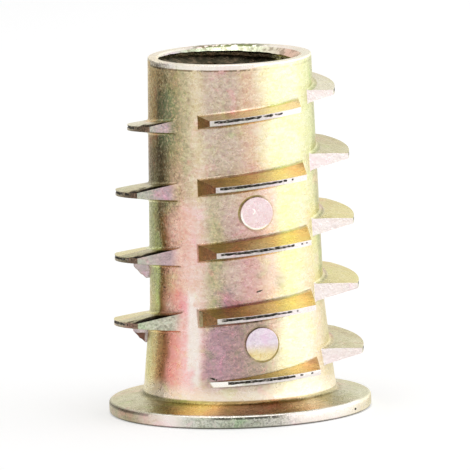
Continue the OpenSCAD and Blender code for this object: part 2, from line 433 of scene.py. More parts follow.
# The chromate film's hues run round the axis: a share of a turn from -X by way of -Y, and a linear colour.
# Each ring of hues ends in the colour that it starts with.
filmHues = dict(
    # In the three wall rings the dark dip near a turn of 0.04 to 0.07 is painted shade on the -X side.
    low=[
        (0.00, 0.84, 0.76, 0.36), (0.028, 0.92, 0.72, 0.34), (0.042, 0.66, 0.38, 0.16),
        (0.056, 0.38, 0.16, 0.07), (0.080, 0.84, 0.36, 0.31), (0.115, 0.92, 0.56, 0.54),
        (0.14, 0.82, 0.52, 0.50), (0.165, 0.48, 0.30, 0.34), (0.20, 0.44, 0.29, 0.29),
        (0.24, 0.44, 0.34, 0.27), (0.27, 0.60, 0.52, 0.36), (0.31, 0.88, 0.83, 0.56),
        (0.36, 0.88, 0.74, 0.58), (0.43, 0.70, 0.62, 0.38), (0.50, 0.62, 0.38, 0.28),
        (0.57, 0.74, 0.50, 0.45), (0.64, 0.54, 0.46, 0.26), (0.71, 0.72, 0.66, 0.38),
        (0.78, 0.74, 0.45, 0.40), (0.85, 0.50, 0.38, 0.32), (0.92, 0.70, 0.60, 0.36),
    ],
    middle=[
        (0.00, 0.80, 0.84, 0.46), (0.034, 0.82, 0.88, 0.38), (0.047, 0.36, 0.19, 0.05),
        (0.060, 0.62, 0.31, 0.19), (0.075, 0.80, 0.49, 0.39), (0.10, 0.82, 0.52, 0.43),
        (0.12, 0.84, 0.58, 0.51), (0.14, 0.80, 0.60, 0.52), (0.17, 0.50, 0.44, 0.27),
        (0.20, 0.62, 0.46, 0.40), (0.235, 0.68, 0.43, 0.40), (0.275, 0.82, 0.62, 0.50),
        (0.31, 0.86, 0.85, 0.46), (0.36, 0.86, 0.76, 0.50), (0.395, 0.80, 0.76, 0.44),
        (0.425, 0.48, 0.47, 0.24), (0.50, 0.66, 0.46, 0.38), (0.57, 0.58, 0.54, 0.28),
        (0.64, 0.74, 0.62, 0.42), (0.71, 0.64, 0.42, 0.38), (0.78, 0.68, 0.64, 0.42),
        (0.85, 0.74, 0.50, 0.44), (0.92, 0.60, 0.52, 0.30), (0.96, 0.74, 0.74, 0.44),
    ],
    high=[
        (0.00, 0.80, 0.58, 0.27), (0.025, 0.70, 0.46, 0.19), (0.042, 0.36, 0.25, 0.12),
        (0.065, 0.38, 0.31, 0.17), (0.09, 0.46, 0.34, 0.20), (0.115, 0.54, 0.46, 0.29),
        (0.14, 0.74, 0.62, 0.43), (0.17, 0.62, 0.50, 0.40), (0.205, 0.60, 0.48, 0.38),
        (0.24, 0.72, 0.52, 0.38), (0.275, 0.80, 0.72, 0.50), (0.31, 0.86, 0.87, 0.50),
        (0.35, 0.84, 0.80, 0.54), (0.395, 0.72, 0.74, 0.44), (0.425, 0.50, 0.52, 0.28),
        (0.50, 0.56, 0.50, 0.30), (0.57, 0.70, 0.54, 0.44), (0.64, 0.64, 0.58, 0.36),
        (0.71, 0.54, 0.44, 0.28), (0.78, 0.72, 0.56, 0.46), (0.85, 0.66, 0.64, 0.40),
        (0.92, 0.60, 0.46, 0.28),
    ],
    # the fins' upper faces: the film's gold, darkened as painted shade and lightened as painted reflection along
    # the turn
    finTops=[
        (0.00, 0.56, 0.50, 0.30), (0.06, 0.56, 0.50, 0.30), (0.095, 0.32, 0.24, 0.10),
        (0.13, 0.16, 0.10, 0.03), (0.175, 0.28, 0.17, 0.04), (0.21, 0.52, 0.38, 0.11),
        (0.25, 0.78, 0.68, 0.33), (0.285, 0.96, 0.74, 0.40), (0.325, 1.00, 0.64, 0.32),
        (0.345, 0.62, 0.36, 0.20), (0.39, 0.66, 0.61, 0.40), (0.45, 0.66, 0.62, 0.42),
        (0.55, 0.52, 0.44, 0.22), (0.66, 0.56, 0.36, 0.08), (0.78, 0.68, 0.44, 0.12),
        (0.88, 0.56, 0.50, 0.30),
    ],
    finEnds=[
        (0.00, 0.50, 0.40, 0.42), (0.055, 0.50, 0.52, 0.42), (0.085, 0.50, 0.36, 0.39),
        (0.11, 0.52, 0.38, 0.40), (0.14, 0.28, 0.19, 0.06), (0.18, 0.38, 0.18, 0.08),
        (0.30, 0.50, 0.30, 0.10), (0.36, 0.78, 0.69, 0.67), (0.44, 0.78, 0.70, 0.67),
        (0.56, 0.70, 0.62, 0.56), (0.64, 0.36, 0.24, 0.10), (0.80, 0.50, 0.32, 0.12),
        (0.88, 0.62, 0.54, 0.52),
    ],
    # crest flats and rounded edges: pale as painted highlight, dark as painted shade
    crests=[
        (0.00, 0.50, 0.42, 0.30), (0.05, 0.30, 0.20, 0.14), (0.09, 0.34, 0.24, 0.18),
        (0.13, 0.66, 0.61, 0.58), (0.24, 0.66, 0.61, 0.59), (0.30, 0.84, 0.77, 0.75),
        (0.37, 0.80, 0.76, 0.72), (0.44, 0.70, 0.66, 0.56), (0.60, 0.76, 0.72, 0.66),
        (0.90, 0.76, 0.72, 0.66),
    ],
    crestEdges=[
        (0.00, 0.40, 0.33, 0.22), (0.05, 0.26, 0.18, 0.12), (0.10, 0.24, 0.15, 0.11),
        (0.13, 1.00, 0.98, 0.95), (0.36, 0.98, 0.95, 0.91), (0.385, 0.20, 0.15, 0.11),
        (0.46, 0.16, 0.12, 0.08), (0.60, 0.30, 0.25, 0.18), (0.66, 0.90, 0.86, 0.80),
        (0.86, 0.90, 0.86, 0.80), (0.92, 0.44, 0.36, 0.26),
    ],
    flangeTop=[
        (0.00, 0.60, 0.58, 0.40), (0.06, 0.58, 0.53, 0.36), (0.08, 0.46, 0.40, 0.20),
        (0.11, 0.50, 0.43, 0.16), (0.13, 0.86, 0.68, 0.22), (0.15, 1.00, 0.82, 0.32),
        (0.167, 0.98, 0.66, 0.32), (0.185, 0.52, 0.31, 0.17), (0.22, 0.52, 0.28, 0.19),
        (0.25, 0.54, 0.28, 0.18), (0.27, 0.44, 0.24, 0.13), (0.283, 0.64, 0.38, 0.25),
        (0.30, 0.94, 0.62, 0.44), (0.33, 0.86, 0.72, 0.54), (0.35, 0.72, 0.66, 0.46),
        (0.44, 0.64, 0.63, 0.46), (0.56, 0.54, 0.48, 0.26), (0.66, 0.62, 0.40, 0.10),
        (0.76, 0.50, 0.28, 0.10), (0.86, 0.62, 0.50, 0.26),
    ],
    rim=[
        (0.00, 0.46, 0.42, 0.30), (0.05, 0.42, 0.37, 0.24), (0.085, 0.72, 0.59, 0.50),
        (0.12, 0.88, 0.80, 0.76), (0.145, 0.64, 0.64, 0.56), (0.18, 0.52, 0.54, 0.45),
        (0.22, 0.48, 0.49, 0.42), (0.25, 0.58, 0.56, 0.50), (0.275, 0.82, 0.75, 0.70),
        (0.31, 0.92, 0.84, 0.78), (0.36, 0.90, 0.84, 0.76), (0.40, 0.86, 0.78, 0.62),
        (0.45, 0.66, 0.60, 0.42), (0.60, 0.80, 0.74, 0.62), (0.75, 0.66, 0.62, 0.50),
        (0.90, 0.72, 0.64, 0.54),
    ],
    # the tapped bore: painted dark as shade on its far side
    tapped=[
        (0.00, 0.30, 0.26, 0.20), (0.10, 0.55, 0.42, 0.32), (0.35, 0.60, 0.46, 0.36),
        (0.48, 0.84, 0.78, 0.46), (0.58, 0.80, 0.76, 0.42), (0.62, 0.09, 0.075, 0.045),
        (0.88, 0.09, 0.08, 0.045),
    ],
    sink=[
        (0.00, 0.62, 0.66, 0.54), (0.20, 0.80, 0.74, 0.60), (0.42, 0.84, 0.70, 0.58),
        (0.54, 0.78, 0.52, 0.42), (0.60, 0.80, 0.74, 0.58), (0.66, 0.74, 0.82, 0.58),
        (0.80, 0.72, 0.80, 0.58), (0.86, 0.72, 0.62, 0.66), (0.94, 0.60, 0.62, 0.52),
    ],
)

# hues by something else than the turn: a share of the height, or the strength of a pattern
filmRamps = dict(
    marks=[
        (0.185, 0.80, 0.66, 0.36), (0.225, 0.76, 0.66, 0.74), (0.44, 0.74, 0.50, 0.54),
        (0.52, 0.86, 0.68, 0.70), (1.00, 0.86, 0.68, 0.66),
    ],
    clouds=[
        (0.30, 0.45, 0.55, 0.42), (0.43, 0.5, 0.5, 0.48), (0.55, 0.5, 0.5, 0.5),
        (0.68, 0.62, 0.46, 0.52),
    ],
    grain=[(0.28, 0.26, 0.28, 0.26), (0.5, 0.5, 0.5, 0.5), (0.72, 0.74, 0.72, 0.70)],
    lowEnd=[(0.34, 0.28, 0.32, 0.20), (0.47, 0.50, 0.55, 0.37), (0.64, 0.66, 0.74, 0.54)],
    streaks=[(0.3, 0.25, 0.25, 0.25), (0.7, 0.75, 0.75, 0.75)],
)

# stains of the film and painted light and shade: how strongly each one shows, and its colour; the painted ones are
# said where they are used
filmStains = dict(
    root=(0.75, (0.96, 0.86, 0.68)), leftShade=(0.8, (0.16, 0.10, 0.05)), leftLight=(0.7, (1.0, 0.72, 0.36)),
    land=(0.8, (0.90, 0.86, 0.78)), markShadowLine=(1, (0.30, 0.23, 0.07)), paintedGleam=(1, (1.0, 0.97, 0.92)),
    shadeUnderFin=(1, (0.22, 0.23, 0.14)), paleTop=(0.4, (0.95, 0.92, 0.88)), deepTop=(0.4, (0.30, 0.20, 0.06)),
    goldTop=(0.4, (1.0, 0.86, 0.30)), edgeShade=(0.95, (0.07, 0.045, 0.025)), flangeRootShade=(0.6, (0.30, 0.23, 0.07)),
    nicksAndEdgeShade=(0.85, (0.045, 0.04, 0.03)), lip=(0.75, (0.98, 0.92, 0.86)), farLip=(1, (0.16, 0.18, 0.08)),
    torn=(0.9, (0.24, 0.17, 0.11)), burr=(1, (0.16, 0.08, 0.06)), fleck=(0.6, (0.14, 0.13, 0.07)),
    paleFleck=(0.45, (0.86, 0.86, 0.56)), moss=(0.7, (0.20, 0.27, 0.14)), cornerShade=(0.75, (0.09, 0.065, 0.04)),
    tappedFlankShade=(1, (0.06, 0.052, 0.032)), tappedTorn=(0.6, (0.24, 0.17, 0.11)),
)

# noise patterns: grains in a millimetre, detail, roughness and distortion
filmPatterns = dict(
    sway=(0.45, 3, 0.55, 0), edgeShade=(1.6, 3, 0.6, 0), flecks=(7.5, 2, 0.6, 0), ragged=(3, 2, 0.5, 0),
    clouds=(0.6, 4, 0.6, 0.7), grain=(6, 3, 0.65, 0.9), streaks=(1, 3, 0.6, 0.8), rough=(2.2, 3, 0.5, 0),
    waves=(0.9, 2, 0.5, 0),
)

filmLook = dict(
    swayTurn=0.05, swayRise=12, cloudShow=0.9, grainShow=0.9, grainTint=0.2, streakShow=0.3, streakLay=(60, 2, 5),
    waveDeep=0.02, streakDeep=0.006, grainDeep=0.026, cornerReach=0.16, cornerSamples=6,
    roughness=0.26, smoother=0.06, rougher=0.1, roughFrom=(0.3, 0.7), glancing=(0.95, 0.92, 0.82),
    # shares by which one thing shows, or tempers another
    lineShow=0.25, lineShade=0.7, bevelShow=0.8, dashShow=0.6, rimFleckShow=0.45, shineShow=0.15, shineMore=0.75,
    tornLess=0.8, lowEndShow=0.65, calmLess=0.55, polishedLess=0.45, upCornerLess=0.8,
)

# Where the film changes: heights and distances in millimetres, turns as shares, tilts as shares of a normal.
# Two numbers start and end a change, four bring a band in and out, and three are a middle and two half widths.
filmPlaces = dict(
    # surfaces
    growTop=3.3, growFoot=(1.7, 1.9), growStand=(0.03, 0.08), growMiddle=0.25, growHalf=0.12,
    finStand=(0.2, 0.32), finFoot=(1.35, 1.5), flangeTop=(1.22, 1.32), upTilt=(0.45, 0.85),
    crestTilt=(0.80, 0.90), crestStand=(0.3, 0.6), endTilt=(0.12, 0.25), endStand=0.01, endFoot=(1.45, 1.6),
    endOffMark=1.1, bevelTilt=(0.15, 0.3, 0.86, 0.94), bevelStand=0.3, boreReach=4.12,
    landTurn=0.14, landStand=0.5, landLeast=0.001, landFade=(0.6, 0.3),
    # slide marks
    markTop=15.5, markStand=0.3, markInset=0.01, lineOut=0.05, lineWide=(0.025, 0.065), upperMarks=8,
    curlX=-0.22, curlZ=0.12, curl=(0.12, 0.02, 0.05), curlFrom=-0.24, slant=0.7, slantShade=(0.1, 0.7),
    litX=0.45, litZ=0.9, lit=(0.15, 0.5), band=(0.87, 0.04, 0.08),
    # storeys of the wall
    middle=(5, 8), high=(11, 15), root=(1.4, 2.5), leftShadeZ=(11.9, 12.4, 14.4, 16.6), leftShadeWide=(0.045, 0.08),
    leftLightZ=(17.6, 19.0), leftLightWide=(0.04, 0.07), land=(0.108, 0.120, 0.132, 0.146), landLevel=(3.4, 4.8, 6.4, 8),
    # fins
    paleTop=(14.5, 16), deepTop=(7.4, 8.4, 11, 12), deepTurn=(0.25, 0.28), goldTop=(4.4, 5.2, 11, 12),
    goldTurn=(0.22, 0.27), edgeShadeReach=3.7, edgeShadeWander=3, edgeShade=(0.4, 1.5), edgeShadeHalf=3.4,
    crestMiddle=(0.94, 0.985), growGleam=(0.195, 0.225), backFrom=0.37, backTo=0.11,
    # flange
    rimReach=(7.0, 7.1), flangeRootShade=(5.5, 5.8), flecked=(0.13, 0.16, 0.25, 0.29), upperEdge=(0.60, 0.05, 0.075),
    dashed=(0.215, 0.035, 0.05), dashes=(0.36, 0.44), solidLeft=0.085, lowerEdge=(0.05, 0.14),
    rimFlecks=(0.47, 0.58), shineZ=(0.665, 0.69), shineReach=(7.13, 7.17), shine=(0.24, 0.13, 0.17),
    # tip and burr
    lipThin=(0.23, 0.29), lipThinner=0.16, lip=(19.69, 19.74), farLipZ=(19.86, 19.9),
    farLip=(0.60, 0.66, 0.76, 0.82), farLipTorn=(0.42, 0.5), torn=(19.67, 0.03, 0.07), tornRagged=(0.36, 0.46),
    tornFade=(0.24, 0.27),
    burrTop=4.4, burrFoot=1.4, burrTurn=0.92, burrStand=(0.1, 0.2),
    # grain, specks and moss
    calm=(0.22, 0.29, 0.88, 0.97), calmFoot=(1.6, 3.2), polished=(0.045, 0.065, 0.13, 0.16), polishedTop=(11, 13),
    specked=(0.03, 0.13), speckedFoot=(6.5, 8.5), darkFlecks=(0.53, 0.62), paleFlecks=(0.38, 0.46),
    moss=(14.8, 15.8, 18.0, 18.9), mossLeft=(0.03, 0.045, 0.08, 0.11), mossFlecks=(0.42, 0.52),
    lowEndTop=(6.8, 7.4), lowEndTurn=0.15, corner=(0.35, 0.85), upCornerTilt=(0.1, 0.5),
    # bore
    steepTilt=(0.77, 0.82), sinkTilt=(0.55, 0.65), shadedFlank=(0.57, 0.63), sinkWide=(0.55, 0.06, 0.08),
    sinkFrom=19.50, sinkTo=19.60, sinkWider=0.36, sinkRagged=0.5, tappedTorn=(0.45, 0.65), boreTop=(19.88, 19.92),
)


class Field:
    # a number that varies over the surface, so that a material's sums are written as plain arithmetic
    def __init__(self, socket):
        self.socket = socket

    def __add__(self, other):
        return calc("ADD", self, other)

    def __radd__(self, other):
        return calc("ADD", other, self)

    def __sub__(self, other):
        return calc("SUBTRACT", self, other)

    def __rsub__(self, other):
        return calc("SUBTRACT", other, self)

    def __mul__(self, other):
        return calc("MULTIPLY", self, other)

    def __rmul__(self, other):
        return calc("MULTIPLY", other, self)

    def __truediv__(self, other):
        return calc("DIVIDE", self, other)


def socketOf(value):
    return value.socket if isinstance(value, Field) else value


def treeOf(*values):
    sockets = [socketOf(value) for value in values]
    return next(socket.id_data for socket in sockets if isinstance(socket, bpy.types.NodeSocket))


def addNode(tree, kind, inputs=None, **settings):
    node = tree.nodes.new(kind)
    for key, value in settings.items():
        setattr(node, key, value)
    for key, value in (inputs or {}).items():
        value, socket = socketOf(value), node.inputs[key]
        if isinstance(value, bpy.types.NodeSocket):
            tree.links.new(value, socket)
        elif socket.type == "RGBA":
            socket.default_value = (*value, 1)
        else:
            socket.default_value = value
    return node


def calc(operation, *values, clamp=False):
    settings = dict(operation=operation, use_clamp=clamp)
    return Field(addNode(treeOf(*values), "ShaderNodeMath", dict(enumerate(values)), **settings).outputs[0])


above, below = partial(calc, "GREATER_THAN"), partial(calc, "LESS_THAN")
larger, smaller = partial(calc, "MAXIMUM"), partial(calc, "MINIMUM")
absolute, squareRoot = partial(calc, "ABSOLUTE"), partial(calc, "SQRT")


def step(value, ends):
    inputs = {"Value": value, "From Min": ends[0], "From Max": ends[1]}
    made = addNode(treeOf(value), "ShaderNodeMapRange", inputs, interpolation_type="SMOOTHSTEP")
    return Field(made.outputs["Result"])


def band(value, ends):
    return step(value, ends[:2]) * (1 - step(value, ends[2:]))


def near(value, ends):
    return 1 - step(absolute(value - ends[0]), ends[1:])


def axesOf(vector):
    parts = addNode(treeOf(vector), "ShaderNodeSeparateXYZ", {"Vector": vector}).outputs
    return [Field(parts[axis]) for axis in "XYZ"]


def noiseOf(where, scale, detail, rough, distortion):
    inputs = {"Vector": where, "Scale": scale, "Detail": detail, "Roughness": rough, "Distortion": distortion}
    return addNode(treeOf(where), "ShaderNodeTexNoise", inputs).outputs


def patches(where, name):
    return Field(noiseOf(where, *filmPatterns[name])["Fac"])


def rampOf(value, stops):
    node = addNode(treeOf(value), "ShaderNodeValToRGB", {"Fac": value})
    node.color_ramp.interpolation = "EASE"
    elements = node.color_ramp.elements
    while len(elements) < len(stops):
        elements.new(0.5)
    for element, (at, *colour) in zip(elements, stops):
        element.position, element.color = at, (*colour, 1)
    return node.outputs["Color"]


def ringOf(turn, hues):
    return rampOf(turn, hues + [(1.0, *hues[0][1:])])


def blendColours(share, first, second, blend="MIX"):
    inputs = {0: share, 6: first, 7: second}
    settings = dict(data_type="RGBA", blend_type=blend, clamp_factor=True)
    return addNode(treeOf(share, first, second), "ShaderNodeMix", inputs, **settings).outputs[2]


def stain(hue, mask, name):
    share, colour = filmStains[name]
    return blendColours(mask * share, hue, colour)


def addBump(height, deep, under=None):
    inputs = {"Height": height, "Strength": 1.0, "Distance": deep * toMetres}
    if under:
        inputs["Normal"] = under
    return addNode(treeOf(height), "ShaderNodeBump", inputs).outputs["Normal"]


def newMaterial(name):
    mat = bpy.data.materials.new(name)
    mat.use_nodes = True
    return mat, mat.node_tree, mat.node_tree.nodes["Principled BSDF"]


def readPlace(tree):
    coords = addNode(tree, "ShaderNodeTexCoord").outputs
    scale = (1 / toMetres,) * 3
    where = addNode(tree, "ShaderNodeMapping", {"Vector": coords["Object"], "Scale": scale}).outputs["Vector"]
    return where, coords["Normal"]


def wallField(z):
    s = bodyShape
    flare = (s["footWide"] - s["waistWide"]) / 2 / (s["waistAt"] - s["rootThick"])
    taper = (s["waistWide"] - s["tipWide"]) / 2 / (s["height"] - s["waistAt"])
    return larger(
        s["footWide"] / 2 - (z - s["rootThick"]) * flare,
        s["waistWide"] / 2 - (z - s["waistAt"]) * taper,
    )


def readSurfaces(tree):
    # shares that say which surface of the casting this is
    at, f = filmPlaces, SimpleNamespace()
    f.where, normal = readPlace(tree)
    f.x, f.y, f.z = axesOf(f.where)
    normalX, normalY, f.tilt = axesOf(normal)
    f.reach = squareRoot(f.x * f.x + f.y * f.y)
    f.stand = f.reach - wallField(f.z)  # height above the wall
    f.turn = (calc("ARCTAN2", f.y, f.x) + pi) / (2 * pi)
    f.fromLeft = smaller(f.turn, 1 - f.turn)
    growing = below(f.z, at["growTop"]) * step(f.z, at["growFoot"]) * step(f.stand, at["growStand"])
    f.growing = growing * below(absolute(f.turn - at["growMiddle"]), at["growHalf"])
    onFin = larger(step(f.stand, at["finStand"]) * step(f.z, at["finFoot"]), f.growing)
    f.onFlange = 1 - step(f.z, at["flangeTop"])
    f.onRim = f.onFlange * step(f.reach, at["rimReach"])
    f.up, f.down = step(f.tilt, at["upTilt"]), step(f.tilt * -1, at["upTilt"])
    f.outward = (f.x * normalX + f.y * normalY) / f.reach
    f.crest = onFin * (step(f.outward, at["crestTilt"]) * larger(step(f.stand, at["crestStand"]), f.growing))
    f.inside = below(f.reach, at["boreReach"])
    readMarks(f)
    along = f.outward * f.outward + f.tilt * f.tilt
    onEnd = step(1 - along, at["endTilt"]) * above(f.stand, at["endStand"])
    onEnd = onEnd * step(f.z, at["endFoot"]) * above(f.fromMark, at["endOffMark"])
    nearLand = below(f.turn, at["landTurn"]) * at["landStand"]
    f.onEnd = onEnd * step(f.stand, (0, nearLand + at["landLeast"]))
    f.onFin = larger(onFin * (1 - nearLand * step(f.stand, at["landFade"])), f.onEnd)
    proud = larger(above(f.stand, at["bevelStand"]), f.growing)
    f.beveled = band(absolute(f.tilt), at["bevelTilt"]) * f.onFin * proud
    f.flecks = patches(f.where, "flecks")
    f.ragged = patches(f.where, "ragged")
    return f


def readMarks(f):
    # each slide mark gets a painted shadow line round it, darkest on its shaded side, and a painted highlight on
    # its lit rim; the upper ones have a curl of metal, painted as a bright ring
    at, look, t, radius = filmPlaces, filmLook, threadShape, markShape["wide"] / 2
    behind = above(f.y, 0) * (t["pitch"] / 2)
    drop = f.z - (t["firstAt"] + t["pitch"] / 2) - behind
    drop = calc("MODULO", drop + t["pitch"] * 3, t["pitch"] * 2) - t["pitch"]
    f.fromMark = squareRoot(f.x * f.x + drop * drop)
    anyMark = below(f.z, at["markTop"]) * below(f.stand, at["markStand"])
    f.onMark = anyMark * below(f.fromMark, radius - at["markInset"])
    upper = above(f.z, at["upperMarks"])
    slant = (drop * at["slant"] - f.x * at["slant"]) * (upper * 2 - 1)
    line = anyMark * near(f.fromMark, (radius + at["lineOut"], *at["lineWide"]))
    f.markShadowLine = line * (step(slant, at["slantShade"]) * look["lineShade"] + look["lineShow"])
    toCurl = squareRoot(calc("POWER", f.x - at["curlX"], 2) + calc("POWER", drop - at["curlZ"], 2))
    curl = near(toCurl, at["curl"]) * anyMark * (upper * above(f.x, at["curlFrom"]))
    lit = step((drop * at["litZ"] + f.x * at["litX"]) * -1, at["lit"]) * upper
    f.markGleam = larger(curl, anyMark * near(f.fromMark, at["band"]) * lit)


def paintWall(f):
    # hue of the film round the axis, in three storeys
    at, look, hues = filmPlaces, filmLook, filmHues
    sway = patches(f.where, "sway") - 0.5
    f.swayed = calc("FRACT", f.turn + sway * look["swayTurn"] + 1)
    f.level = f.z + sway * look["swayRise"]
    hue = blendColours(step(f.level, at["middle"]), ringOf(f.swayed, hues["low"]), ringOf(f.swayed, hues["middle"]))
    hue = blendColours(step(f.level, at["high"]), hue, ringOf(f.swayed, hues["high"]))
    # painted shade on the -X side at mid height
    leftShade = band(f.z, at["leftShadeZ"]) * (1 - step(f.fromLeft, at["leftShadeWide"]))
    # painted light at the top of the -X side, above that shade
    leftLight = step(f.z, at["leftLightZ"]) * (1 - step(f.fromLeft, at["leftLightWide"]))
    hue = stain(stain(hue, leftShade, "leftShade"), leftLight, "leftLight")
    hue = stain(hue, 1 - step(f.z, at["root"]), "root")
    hue = stain(hue, band(f.turn, at["land"]) * band(f.level, at["landLevel"]), "land")
    hue = blendColours(f.onMark, hue, rampOf(f.z / bodyShape["height"], filmRamps["marks"]))
    return stain(stain(hue, f.markShadowLine, "markShadowLine"), f.markGleam, "paintedGleam")


def paintFins(f, hue):
    at, hues, t = filmPlaces, filmHues, threadShape
    hue = blendColours(f.onFin, hue, ringOf(f.turn, hues["finEnds"]))
    # the fins' undersides are painted dark as shade
    hue = stain(hue, f.down * f.onFin, "shadeUnderFin")
    # the fins' upper faces get their own ring with pale, deep and gold stains: the film's gold with painted shade
    # and painted reflection, dark to bright across the -Y row
    top = stain(ringOf(f.swayed, hues["finTops"]), step(f.z, at["paleTop"]), "paleTop")
    top = stain(top, band(f.z, at["deepTop"]) * (1 - step(f.turn, at["deepTurn"])), "deepTop")
    top = stain(top, band(f.z, at["goldTop"]) * step(f.turn, at["goldTurn"]), "goldTop")
    hue = blendColours(f.up * f.onFin, hue, top)
    # the -X fins' top is painted dark as shade along its edge beside the -Y row, with a wandering border
    fromEnd = f.y + (t["halfLong"] - t["wideLand"]) - (f.z - t["firstAt"]) * tan(radians(t["rowTaper"]))
    fromEnd = fromEnd - (absolute(f.x) - at["edgeShadeReach"]) * tan(radians(t["endDraft"]))
    fromEnd = fromEnd + (patches(f.where, "edgeShade") - 0.5) * at["edgeShadeWander"]
    edgeShade = (1 - step(fromEnd, at["edgeShade"])) * (below(f.x, 0) * below(absolute(f.y), at["edgeShadeHalf"]))
    f.edgeShade = f.up * f.onFin * edgeShade
    hue = stain(hue, f.edgeShade, "edgeShade")
    # crests and their rounded edges carry a painted highlight towards the front and painted shade towards the sides
    # and back; the growing fin's crest gets a painted highlight too
    edges = ringOf(f.turn, hues["crestEdges"])
    crest = blendColours(step(f.outward, at["crestMiddle"]), edges, ringOf(f.turn, hues["crests"]))
    crest = stain(crest, f.growing * (1 - step(f.turn, at["growGleam"])), "paintedGleam")
    return blendColours(f.beveled * filmLook["bevelShow"], blendColours(f.crest, hue, crest), edges)


def paintFlange(f, hue):
    # a root painted darker as shade, a banded top, and a paler rim between two dark edges, the upper one with nicks
    # and the lower one painted shade, and a painted highlight along the top of the rim
    at, look = filmPlaces, filmLook
    top = ringOf(f.swayed, filmHues["flangeTop"])
    hue = blendColours(f.onFlange, hue, stain(top, 1 - step(f.reach, at["flangeRootShade"]), "flangeRootShade"))
    hue = blendColours(f.onRim * (1 - f.up), hue, ringOf(f.turn, filmHues["rim"]))
    solid = look["dashShow"] * below(f.fromLeft, at["solidLeft"])
    dashes = larger(solid, step(f.flecks, at["dashes"]) * near(f.turn, at["dashed"]))
    lines = larger(1 - step(f.z, at["lowerEdge"]), near(f.z, at["upperEdge"]) * dashes)
    flecked = band(f.turn, at["flecked"]) * look["rimFleckShow"] * step(f.flecks, at["rimFlecks"])
    hue = stain(hue, larger(lines, flecked) * f.onRim, "nicksAndEdgeShade")
    shine = f.onFlange * step(f.z, at["shineZ"]) * step(f.reach, at["shineReach"])
    return stain(hue, shine * (look["shineShow"] + look["shineMore"] * near(f.turn, at["shine"])), "paintedGleam")


def paintTip(f, hue):
    # the lip, a torn line just under its edge, and the lower burr, dark where it broke off
    at = filmPlaces
    hue = stain(hue, step(f.z - step(f.turn, at["lipThin"]) * at["lipThinner"], at["lip"]), "lip")
    far = step(f.z, at["farLipZ"]) * band(f.turn, at["farLip"])
    hue = stain(hue, far * step(f.ragged, at["farLipTorn"]), "farLip")
    kept = 1 - step(f.turn, at["tornFade"]) * filmLook["tornLess"]
    hue = stain(hue, near(f.z, at["torn"]) * (step(f.ragged, at["tornRagged"]) * kept), "torn")
    burr = below(f.z, at["burrTop"]) * above(f.turn, at["burrTurn"])
    return stain(hue, burr * (step(f.stand, at["burrStand"]) * above(f.z, at["burrFoot"])), "burr")


def paintGrain(f, hue):
    # cloudy tints, then specks and moss, then grain and fine streaks from the die
    at, look = filmPlaces, filmLook
    clouds = rampOf(patches(f.where, "clouds"), filmRamps["clouds"])
    hue = blendColours(look["cloudShow"], hue, clouds, "OVERLAY")
    specked = (1 - step(f.fromLeft, at["specked"])) * (step(f.z, at["speckedFoot"]) * (1 - f.onFin))
    hue = stain(hue, specked * step(f.flecks, at["darkFlecks"]), "fleck")
    hue = stain(hue, specked * (1 - step(f.flecks, at["paleFlecks"])), "paleFleck")
    mossy = band(f.z, at["moss"]) * band(f.fromLeft, at["mossLeft"]) * (1 - f.onFin)
    hue = stain(hue, mossy * step(f.flecks, at["mossFlecks"]), "moss")
    lowEnd = f.onEnd * (1 - step(f.z, at["lowEndTop"])) * below(f.turn, at["lowEndTurn"])
    hue = blendColours(look["lowEndShow"] * lowEnd, hue, rampOf(f.flecks, filmRamps["lowEnd"]))
    grain = noiseOf(f.where, *filmPatterns["grain"])
    f.grain = Field(grain["Fac"])
    speckle = blendColours(look["grainTint"], rampOf(f.grain, filmRamps["grain"]), grain["Color"])
    calm = look["calmLess"]
    rough = (1 - band(f.turn, at["calm"]) * calm) * (1 - calm + step(f.z, at["calmFoot"]) * calm)
    polished = band(f.fromLeft, at["polished"]) * (1 - step(f.level, at["polishedTop"]))
    rough = rough * (1 - polished * look["polishedLess"])
    hue = blendColours(rough * look["grainShow"], hue, speckle, "OVERLAY")
    lay = {axis: value * scale for axis, value, scale in zip("XYZ", (f.turn, f.reach, f.z), look["streakLay"])}
    f.streaks = patches(addNode(treeOf(f.where), "ShaderNodeCombineXYZ", lay).outputs["Vector"], "streaks")
    hue = blendColours(look["streakShow"], hue, rampOf(f.streaks, filmRamps["streaks"]), "OVERLAY")
    # corners are painted darker as shade, less where they face up
    inputs = {"Distance": look["cornerReach"] * toMetres}
    corner = addNode(treeOf(f.where), "ShaderNodeAmbientOcclusion", inputs, samples=look["cornerSamples"],
                     only_local=True).outputs["AO"]
    kept = 1 - step(f.tilt, at["upCornerTilt"]) * look["upCornerLess"]
    return stain(hue, (1 - step(corner, at["corner"])) * kept, "cornerShade")


def paintBore(f, hue):
    # a bright countersink, the far side and the flanks of the tapped thread under it painted dark as shade, and
    # pale crests
    at = filmPlaces
    steep = step(f.tilt, at["steepTilt"])
    tapped = ringOf(f.turn, filmHues["tapped"])
    tapped = stain(tapped, steep * step(f.turn, at["shadedFlank"]), "tappedFlankShade")
    widened = at["sinkWider"] * near(f.turn, at["sinkWide"])
    raggedZ = f.z + (f.ragged - 0.5) * at["sinkRagged"]
    sunk = step(f.tilt, at["sinkTilt"]) * (1 - steep)
    sunk = sunk * step(raggedZ, (at["sinkFrom"] - widened, at["sinkTo"] - widened))
    tapped = blendColours(sunk, tapped, ringOf(f.turn, filmHues["sink"]))
    tapped = stain(tapped, step(f.ragged, at["tappedTorn"]), "tappedTorn")
    return blendColours(f.inside * (1 - step(f.z, at["boreTop"])), hue, tapped)


